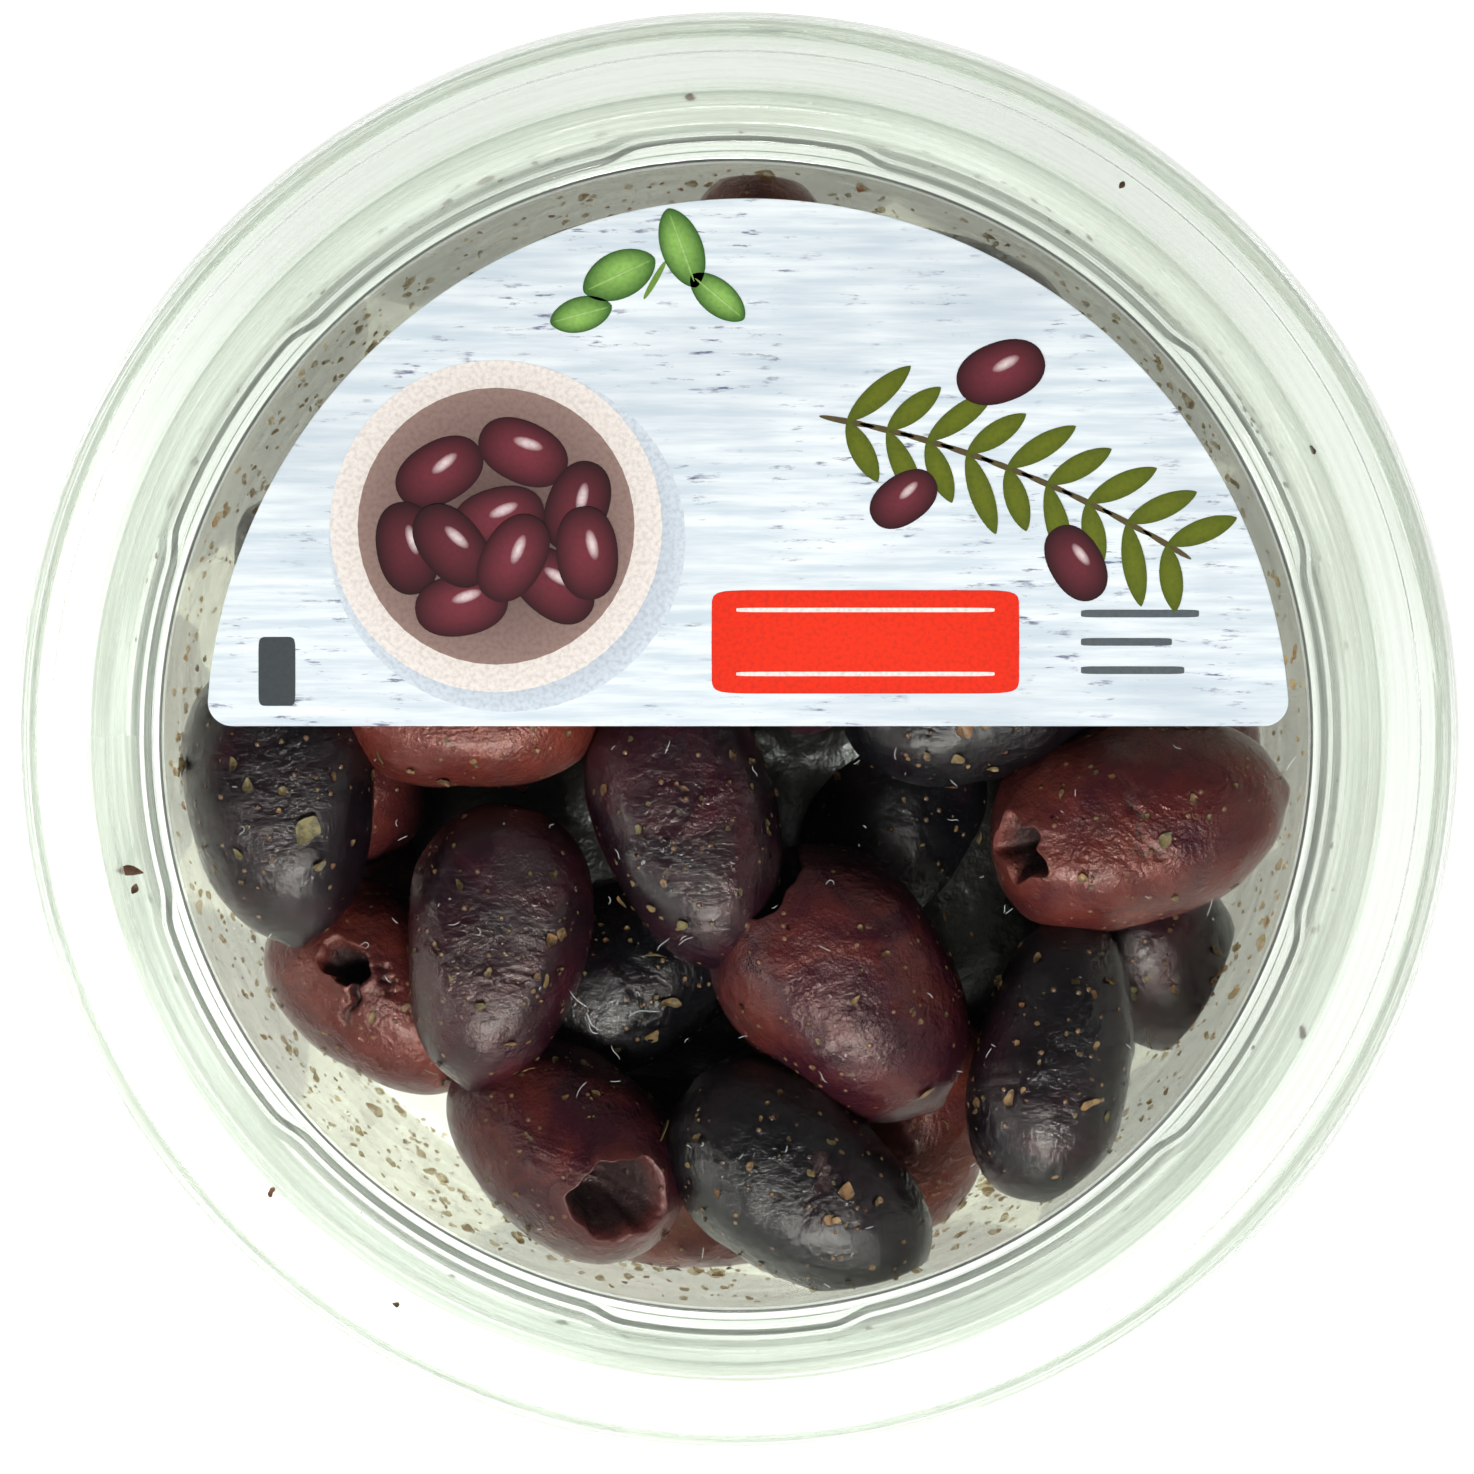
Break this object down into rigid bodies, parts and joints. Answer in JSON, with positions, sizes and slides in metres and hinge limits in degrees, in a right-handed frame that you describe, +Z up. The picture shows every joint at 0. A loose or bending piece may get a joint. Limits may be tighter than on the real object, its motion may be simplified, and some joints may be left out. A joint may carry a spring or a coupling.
{
  "type": "lidded tub of olives",
  "caption": "Round clear plastic deli tub of pitted black olives with herbs, shut with a clear push-on lid that carries a half-round label.",
  "frame": {"origin": "middle of the tub's base, where it rests", "axes": "+Z up along the tub's axis, +Y towards the label's half of the lid, +X to the right with the label away from the viewer"},
  "size_m": [0.118, 0.118, 0.048],
  "materials": {
    "clear_tub": "clear, faintly green, glossy moulded plastic",
    "clear_lid": "clear, faintly green, glossy moulded plastic with fine scratches",
    "printed_label": "printed sheet with a satin film",
    "olive_skin": "dark wine to black cured skin, wet with oil and brine, with dried herbs on it"
  },
  "bodies": {
    "root": {"tub": "clear_tub", "lid": "clear_lid", "label": "printed_label", "olives": "olive_skin"}
  },
  "joints": []
}
